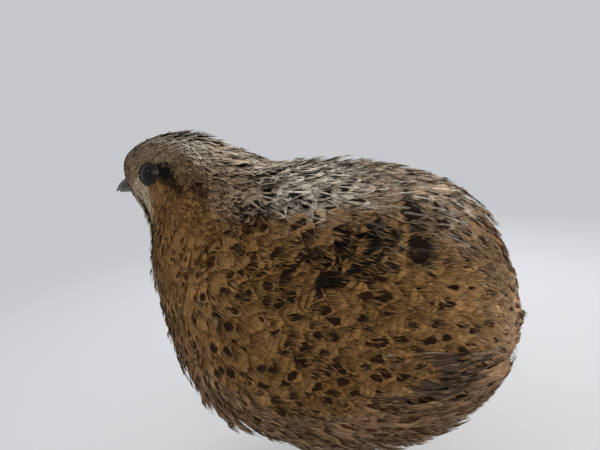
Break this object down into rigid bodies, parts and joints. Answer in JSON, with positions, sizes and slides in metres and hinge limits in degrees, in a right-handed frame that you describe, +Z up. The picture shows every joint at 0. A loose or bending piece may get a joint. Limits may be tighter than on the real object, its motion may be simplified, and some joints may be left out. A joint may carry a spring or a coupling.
{
  "type": "coturnix quail",
  "caption": "Life-size standing coturnix quail hen with fluffed plumage, a still display model for shelves and scenes.",
  "frame": {"origin": "middle of the bird's box at floor level", "axes": "the bird faces -Y, +X is its left side, +Z is up"},
  "size_m": [0.0918, 0.141, 0.1339],
  "materials": {
    "plumage": "soft barred body feathers, golden buff with dark brown bars and spots",
    "wing": "firm flight feathers and coverts, brown with buff bars",
    "tail": "short tail feathers, brown with buff bars",
    "bill": "smooth greenish grey horn",
    "eye": "wet dark brown eye",
    "leg": "fine scaled pinkish skin",
    "claw": "smooth dark horn"
  },
  "bodies": {
    "root": {"torso": "plumage", "neck": "plumage", "head": "plumage", "bill_upper": "bill", "bill_lower": "bill", "eye_left": "eye", "eye_right": "eye", "wing_left": "wing", "wing_right": "wing", "tail": "tail", "thigh_left": "plumage", "tarsus_left": "leg", "toe_left_1": "leg", "claw_left_1": "claw", "toe_left_2": "leg", "claw_left_2": "claw", "toe_left_3": "leg", "claw_left_3": "claw", "toe_left_4": "leg", "claw_left_4": "claw", "thigh_right": "plumage", "tarsus_right": "leg", "toe_right_1": "leg", "claw_right_1": "claw", "toe_right_2": "leg", "claw_right_2": "claw", "toe_right_3": "leg", "claw_right_3": "claw", "toe_right_4": "leg", "claw_right_4": "claw"}
  },
  "joints": []
}
